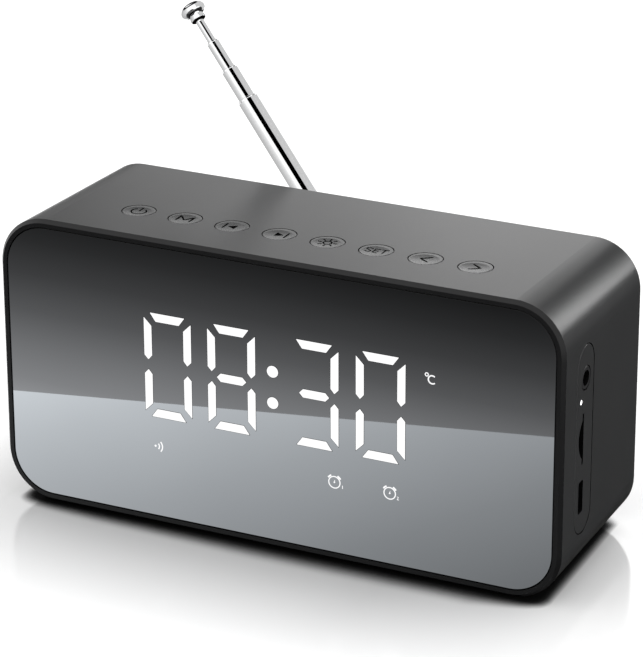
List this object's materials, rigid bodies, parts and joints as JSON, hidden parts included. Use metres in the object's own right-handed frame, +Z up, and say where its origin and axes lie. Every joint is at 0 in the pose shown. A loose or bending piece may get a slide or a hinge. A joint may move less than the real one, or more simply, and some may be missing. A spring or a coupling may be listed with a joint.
{
  "type": "clock radio",
  "caption": "Bedside clock radio with a mirror display, top keys, side sockets and a telescopic antenna.",
  "frame": {"origin": "on the table, in the middle of the footprint that the radio covers with its antenna raised", "axes": "+X to the listener's right along the long front, +Y to the back, +Z up"},
  "size_m": [0.1398, 0.0733, 0.104],
  "materials": {
    "shell": "satin gunmetal paint-like moulding",
    "bezel": "semi-gloss black moulding",
    "mirror": "half-silvered dark display mirror",
    "keycap": "satin dished key caps with dark legends",
    "port_insert": "fine satin black",
    "black_plastic": "matt black moulding",
    "diffuser": "milky white light diffuser",
    "tape": "black foam tape",
    "circuit_board": "green solder resist",
    "chip": "black epoxy package",
    "led": "small white lamps",
    "plated_steel": "bright plated steel",
    "antenna_chrome": "polished chrome tube",
    "screw_steel": "black-zinc screws",
    "grille_steel": "powder coated perforated steel",
    "basket_steel": "painted pressed steel",
    "magnet": "plated ferrite magnet and yoke",
    "cone_paper": "coated paper",
    "rubber": "matt black rubber",
    "battery_wrap": "laminated foil pouch",
    "wire": "PVC insulation",
    "ribbon": "white flat cable",
    "light_pipe": "clear light pipe"
  },
  "bodies": {
    "radio": {"housing_sleeve": "shell", "rubber_feet": "rubber", "front_bezel": "bezel", "mirror_panel": "mirror", "mirror_tape": "tape", "display_light_box": "black_plastic", "segment_windows": "diffuser", "display_board": "circuit_board", "display_leds": "led", "display_header": "black_plastic", "button_board": "circuit_board", "button_switches": "black_plastic", "button_ribbon": "ribbon", "main_board": "circuit_board", "main_board_chips": "chip", "port_panel": "port_insert", "aux_jack": "black_plastic", "usb_socket": "plated_steel", "card_socket": "plated_steel", "status_light": "light_pipe", "speaker_screws": "screw_steel", "rear_cover": "black_plastic", "rear_cover_screws": "screw_steel", "board_screws": "screw_steel", "battery_tray": "black_plastic", "battery_cell": "battery_wrap", "speaker_wires": "wire", "battery_wires": "wire", "antenna_wire": "wire", "left_speaker_basket": "basket_steel", "left_speaker_magnet": "magnet", "left_speaker_surround": "rubber", "left_speaker_grille": "grille_steel", "right_speaker_basket": "basket_steel", "right_speaker_magnet": "magnet", "right_speaker_surround": "rubber", "right_speaker_grille": "grille_steel"},
    "power_key": {"power_button": "keycap"},
    "mode_key": {"mode_button": "keycap"},
    "previous_key": {"previous_button": "keycap"},
    "next_key": {"next_button": "keycap"},
    "light_key": {"light_button": "keycap"},
    "set_key": {"set_button": "keycap"},
    "down_key": {"down_button": "keycap"},
    "up_key": {"up_button": "keycap"},
    "left_cone": {"left_speaker_cone": "cone_paper"},
    "right_cone": {"right_speaker_cone": "cone_paper"},
    "swivel": {"antenna_swivel": "antenna_chrome", "swivel_washer": "plated_steel", "swivel_screw": "screw_steel", "elbow_pin": "antenna_chrome"},
    "arm": {"antenna_foot": "antenna_chrome", "antenna_outer_tube": "antenna_chrome"},
    "second_section": {"antenna_second_tube": "antenna_chrome"},
    "third_section": {"antenna_third_tube": "antenna_chrome"},
    "tip": {"antenna_rod": "antenna_chrome", "antenna_knob": "antenna_chrome"}
  },
  "joints": [
    {"name": "power_press", "type": "slide", "parent": "radio", "child": "power_key", "axis": [0, 0, -1], "range_m": [0, 0.0004], "stiffness_N_per_m": 400, "springref_m": -0.0006},
    {"name": "mode_press", "type": "slide", "parent": "radio", "child": "mode_key", "axis": [0, 0, -1], "range_m": [0, 0.0004], "stiffness_N_per_m": 400, "springref_m": -0.0006},
    {"name": "previous_press", "type": "slide", "parent": "radio", "child": "previous_key", "axis": [0, 0, -1], "range_m": [0, 0.0004], "stiffness_N_per_m": 400, "springref_m": -0.0006},
    {"name": "next_press", "type": "slide", "parent": "radio", "child": "next_key", "axis": [0, 0, -1], "range_m": [0, 0.0004], "stiffness_N_per_m": 400, "springref_m": -0.0006},
    {"name": "light_press", "type": "slide", "parent": "radio", "child": "light_key", "axis": [0, 0, -1], "range_m": [0, 0.0004], "stiffness_N_per_m": 400, "springref_m": -0.0006},
    {"name": "set_press", "type": "slide", "parent": "radio", "child": "set_key", "axis": [0, 0, -1], "range_m": [0, 0.0004], "stiffness_N_per_m": 400, "springref_m": -0.0006},
    {"name": "down_press", "type": "slide", "parent": "radio", "child": "down_key", "axis": [0, 0, -1], "range_m": [0, 0.0004], "stiffness_N_per_m": 400, "springref_m": -0.0006},
    {"name": "up_press", "type": "slide", "parent": "radio", "child": "up_key", "axis": [0, 0, -1], "range_m": [0, 0.0004], "stiffness_N_per_m": 400, "springref_m": -0.0006},
    {"name": "left_cone_travel", "type": "slide", "parent": "radio", "child": "left_cone", "axis": [0, 1, 0], "range_m": [-0.0008, 0.0008], "stiffness_N_per_m": 500},
    {"name": "right_cone_travel", "type": "slide", "parent": "radio", "child": "right_cone", "axis": [0, 1, 0], "range_m": [-0.0008, 0.0008], "stiffness_N_per_m": 500},
    {"name": "antenna_turn", "type": "hinge", "parent": "radio", "child": "swivel", "pos_m": [0, 0.01475, 0.0429], "axis": [0, 1, 0], "range_deg": [-46, 134]},
    {"name": "antenna_elbow", "type": "hinge", "parent": "swivel", "child": "arm", "pos_m": [0, 0.01475, 0.0429], "axis": [-0.7193, 0, -0.6947], "range_deg": [-13.1, 76.9]},
    {"name": "second_slide", "type": "slide", "parent": "arm", "child": "second_section", "axis": [-0.6766, 0.2267, 0.7006], "range_m": [-0.0082, 0.036]},
    {"name": "third_slide", "type": "slide", "parent": "second_section", "child": "third_section", "axis": [-0.6766, 0.2267, 0.7006], "range_m": [-0.0075, 0.036]},
    {"name": "tip_slide", "type": "slide", "parent": "third_section", "child": "tip", "axis": [-0.6766, 0.2267, 0.7006], "range_m": [-0.0057, 0.036]}
  ]
}
